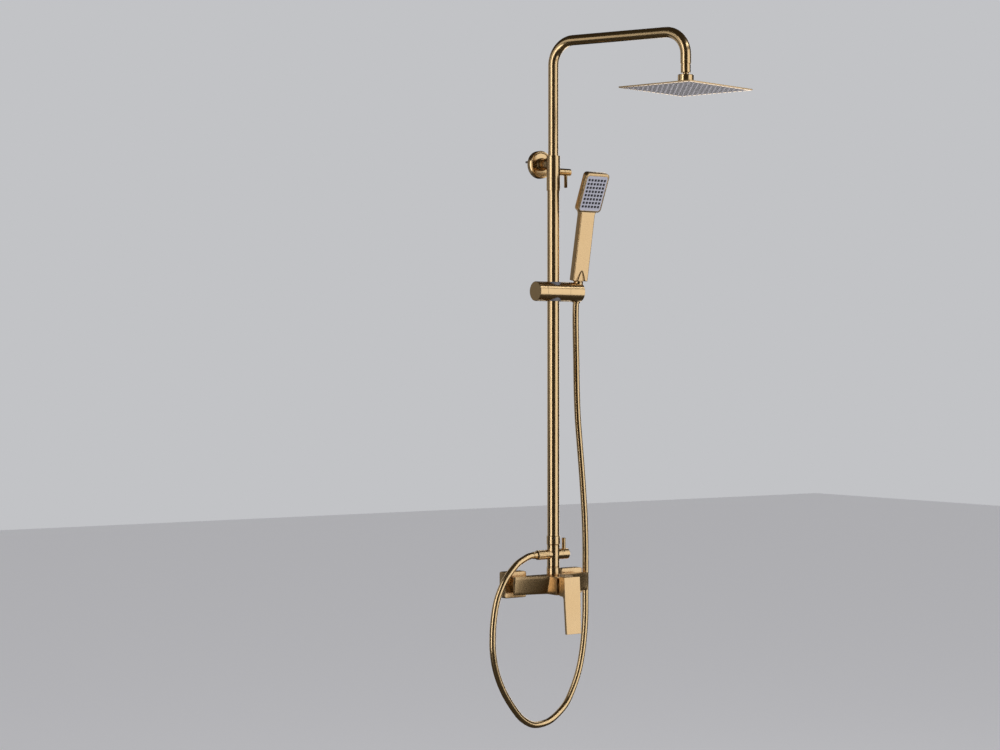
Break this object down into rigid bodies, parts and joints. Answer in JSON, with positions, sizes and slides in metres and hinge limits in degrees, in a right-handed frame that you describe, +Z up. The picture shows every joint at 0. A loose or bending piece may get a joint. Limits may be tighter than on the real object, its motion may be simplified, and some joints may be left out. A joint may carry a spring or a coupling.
{
  "type": "rainfall shower column",
  "caption": "Exposed shower column: wall-bar mixer with lever, diverter, telescopic swan-neck riser, square rain head, sliding holder with slab hand shower and a looped hose.",
  "frame": {"origin": "on the finished wall face, midway between the two water inlets", "axes": "+X to the right along the wall seen from the room, +Y into the wall (the room is at -Y), +Z up along the riser"},
  "size_m": [0.3791, 0.5108, 1.4824],
  "materials": {
    "brushed_gold": "brushed gold PVD over brass",
    "raw_brass": "machined brass",
    "stainless": "machined stainless steel",
    "grey_plastic": "moulded grey acetal",
    "lilac_face": "satin lilac-grey ABS",
    "grey_nozzle_mat": "grey silicone",
    "white_plastic": "moulded white plastic",
    "ceramic": "polished ceramic",
    "black_rubber": "black rubber"
  },
  "bodies": {
    "fixed": {"mixer_body": "brushed_gold", "cartridge": "white_plastic", "cartridge_nut": "brushed_gold", "inlet_studs": "raw_brass", "inlet_nuts": "brushed_gold", "inlet_washers": "black_rubber", "check_valves": "white_plastic", "wall_rosettes": "brushed_gold", "base_nut": "brushed_gold", "base_seal": "black_rubber", "diverter_body": "brushed_gold", "diverter_gland": "raw_brass", "foot_collar": "brushed_gold", "collar_screw": "stainless", "foot_ring": "black_rubber", "lower_tube": "brushed_gold", "clamp_sleeve": "brushed_gold", "guide_bush": "grey_plastic", "clamp_shoe": "grey_plastic", "wall_plate": "stainless", "wall_screws": "stainless", "wall_flange": "brushed_gold", "wall_stem": "brushed_gold", "stem_screw": "stainless", "hose_nut": "brushed_gold", "hose_gasket": "black_rubber", "hose_insert": "brushed_gold", "hose_tube": "brushed_gold"},
    "cartridge_disc": {"cartridge_rotor": "ceramic"},
    "lever": {"cartridge_stem": "raw_brass", "mixer_lever": "brushed_gold", "lever_screw": "stainless"},
    "diverter_turner": {"diverter_core": "ceramic", "core_rings": "black_rubber", "diverter_knob": "brushed_gold", "diverter_pin": "brushed_gold"},
    "clamp_turner": {"clamp_knob": "brushed_gold", "clamp_pin": "brushed_gold"},
    "riser_piston": {"tube_piston": "grey_plastic", "piston_rings": "black_rubber"},
    "arm": {"upper_tube": "brushed_gold", "arm_nipple": "brushed_gold", "ball_stud": "brushed_gold"},
    "seat": {"ball_seat": "white_plastic"},
    "swivel_nut": {"ball_nut": "brushed_gold"},
    "rain_head": {"head_shell": "brushed_gold", "head_chamber": "stainless", "head_mat": "grey_nozzle_mat"},
    "bush": {"slider_bush": "grey_plastic"},
    "slider": {"slider_body": "brushed_gold", "slider_pad": "grey_plastic", "holder_axle": "stainless"},
    "slider_turner": {"slider_knob": "brushed_gold"},
    "holder": {"holder": "brushed_gold"},
    "hose_cone": {"cone_nut": "brushed_gold", "hand_insert": "raw_brass", "hand_gasket": "black_rubber"},
    "hand_shower": {"hand_body": "brushed_gold", "hand_face": "lilac_face", "hand_nozzles": "black_rubber"}
  },
  "joints": [
    {"name": "lever_turn", "type": "hinge", "parent": "fixed", "child": "cartridge_disc", "pos_m": [0, -0.084, 0], "axis": [0, -1, 0], "range_deg": [-45, 45]},
    {"name": "lever_lift", "type": "hinge", "parent": "cartridge_disc", "child": "lever", "pos_m": [0, -0.084, 0], "axis": [1, 0, 0], "range_deg": [0, 16]},
    {"name": "diverter_turn", "type": "hinge", "parent": "fixed", "child": "diverter_turner", "pos_m": [0, -0.054, 0.064], "axis": [1, 0, 0], "range_deg": [0, 90]},
    {"name": "clamp_turn", "type": "hinge", "parent": "fixed", "child": "clamp_turner", "pos_m": [0, -0.054, 0.886], "axis": [1, 0, 0], "range_deg": [-120, 45]},
    {"name": "column_height", "type": "slide", "parent": "fixed", "child": "riser_piston", "axis": [0, 0, 1], "range_m": [-0.14, 0.12]},
    {"name": "column_swivel", "type": "hinge", "parent": "riser_piston", "child": "arm", "pos_m": [0, -0.054, 0.64], "axis": [0, 0, 1], "range_deg": [-78, 42]},
    {"name": "head_pitch", "type": "hinge", "parent": "arm", "child": "seat", "pos_m": [0.10352, -0.3726, 1.056], "axis": [0.9511, 0.309, 0], "range_deg": [-10, 10]},
    {"name": "head_roll", "type": "hinge", "parent": "seat", "child": "swivel_nut", "pos_m": [0.10352, -0.3726, 1.056], "axis": [-0.3089, 0.9507, 0.0279], "range_deg": [-12, 12]},
    {"name": "head_spin", "type": "hinge", "parent": "swivel_nut", "child": "rain_head", "pos_m": [0.10352, -0.3726, 1.056], "axis": [0.0086, -0.0266, 0.9996], "range_deg": [-90, 90]},
    {"name": "slider_height", "type": "slide", "parent": "fixed", "child": "bush", "axis": [0, 0, 1], "range_m": [-0.4, 0.1]},
    {"name": "slider_swivel", "type": "hinge", "parent": "bush", "child": "slider", "pos_m": [0, -0.054, 0.628], "axis": [0, 0, 1], "range_deg": [-60, 20]},
    {"name": "slider_knob_turn", "type": "hinge", "parent": "slider", "child": "slider_turner", "pos_m": [-0.03, -0.054, 0.628], "axis": [1, 0, 0], "range_deg": [-180, 180]},
    {"name": "holder_tilt", "type": "hinge", "parent": "slider", "child": "holder", "pos_m": [0.05, -0.054, 0.628], "axis": [1, 0, 0], "range_deg": [-6, 35]},
    {"name": "hand_shower_lift", "type": "slide", "parent": "holder", "child": "hose_cone", "axis": [0, -0.1908, 0.9816], "range_m": [0, 0.06], "deforming": ["hose_tube"]},
    {"name": "hand_shower_turn", "type": "hinge", "parent": "hose_cone", "child": "hand_shower", "pos_m": [0.064, -0.054, 0.628], "axis": [0, -0.1908, 0.9816], "range_deg": [-90, 90]}
  ]
}
